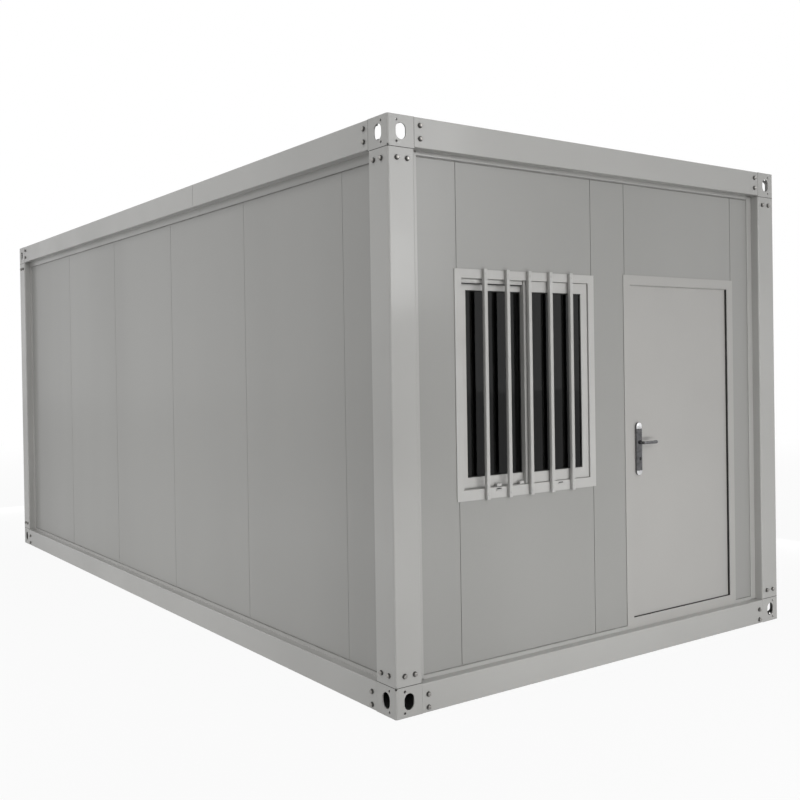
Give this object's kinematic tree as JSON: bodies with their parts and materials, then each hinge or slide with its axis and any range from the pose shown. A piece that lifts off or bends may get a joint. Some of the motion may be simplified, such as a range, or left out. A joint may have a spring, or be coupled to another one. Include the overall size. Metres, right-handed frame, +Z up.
{
  "type": "portable steel cabin",
  "caption": "Rectangular portable cabin: bolted steel frame with corner fittings, flat sandwich-panel walls, low ridged roof, hinged steel door and barred sliding window.",
  "frame": {"origin": "at ground level, in the middle of the plan (bottom centre of the bounding box)", "axes": "+X across the width, +Y along the length away from the end with the door, +Z up; the end with the door and the window faces -Y"},
  "size_m": [3, 5.95, 2.8],
  "materials": {
    "frame_steel": "light warm grey gloss enamel",
    "wall_skin": "grey coil-coated steel, satin",
    "window_profile": "off-white, satin",
    "tinted_glass": "dark tinted, glossy",
    "door_steel": "light grey powder coat, satin",
    "hinge_steel": "zinc plated",
    "handle_chrome": "polished",
    "floor": "board with a vinyl sheet",
    "primed_steel": "grey primer, matt",
    "interior_white": "white, satin",
    "roof_steel": "light grey coil coating"
  },
  "bodies": {
    "cabin": {"top_fitting_front_left": "frame_steel", "top_fitting_front_right": "frame_steel", "top_fitting_rear_left": "frame_steel", "top_fitting_rear_right": "frame_steel", "base_fitting_front_left": "frame_steel", "base_fitting_front_right": "frame_steel", "base_fitting_rear_left": "frame_steel", "base_fitting_rear_right": "frame_steel", "column_front_left": "frame_steel", "column_front_right": "frame_steel", "column_rear_left": "frame_steel", "column_rear_right": "frame_steel", "roof_beam_front": "frame_steel", "roof_beam_rear": "frame_steel", "roof_beam_left": "frame_steel", "roof_beam_right": "frame_steel", "floor_beam_front": "frame_steel", "floor_beam_rear": "frame_steel", "floor_beam_left": "frame_steel", "floor_beam_right": "frame_steel", "front_panel_left": "wall_skin", "front_panel_under_window": "wall_skin", "front_panel_over_window": "wall_skin", "front_panel_middle": "wall_skin", "front_panel_over_door": "wall_skin", "front_panel_right": "wall_skin", "left_wall_panels": "wall_skin", "right_wall_panels": "wall_skin", "rear_wall_panels": "wall_skin", "window_frame": "window_profile", "window_sash_inner": "window_profile", "window_sash_outer": "window_profile", "window_glass": "tinted_glass", "door_frame": "door_steel", "door_hinge_jamb": "hinge_steel", "floor_board": "floor", "floor_joists": "primed_steel", "skirting": "interior_white", "ceiling": "interior_white", "roof_purlins": "primed_steel", "roof_sheet": "roof_steel"},
    "door": {"door_leaf": "door_steel", "door_hinge_leaf": "hinge_steel", "door_handle_plates": "handle_chrome"},
    "lever": {"door_lever": "handle_chrome"}
  },
  "joints": [
    {"name": "door_swing", "type": "hinge", "parent": "cabin", "child": "door", "pos_m": [1.098, -2.855, 1.1375], "axis": [0, 0, -1], "range_deg": [0, 100]},
    {"name": "lever_turn", "type": "hinge", "parent": "door", "child": "lever", "pos_m": [0.272, -2.8885, 1.18], "axis": [0, 1, 0], "range_deg": [0, 40], "stiffness_Nm_per_rad": 1.5, "springref_deg": -28.65}
  ]
}
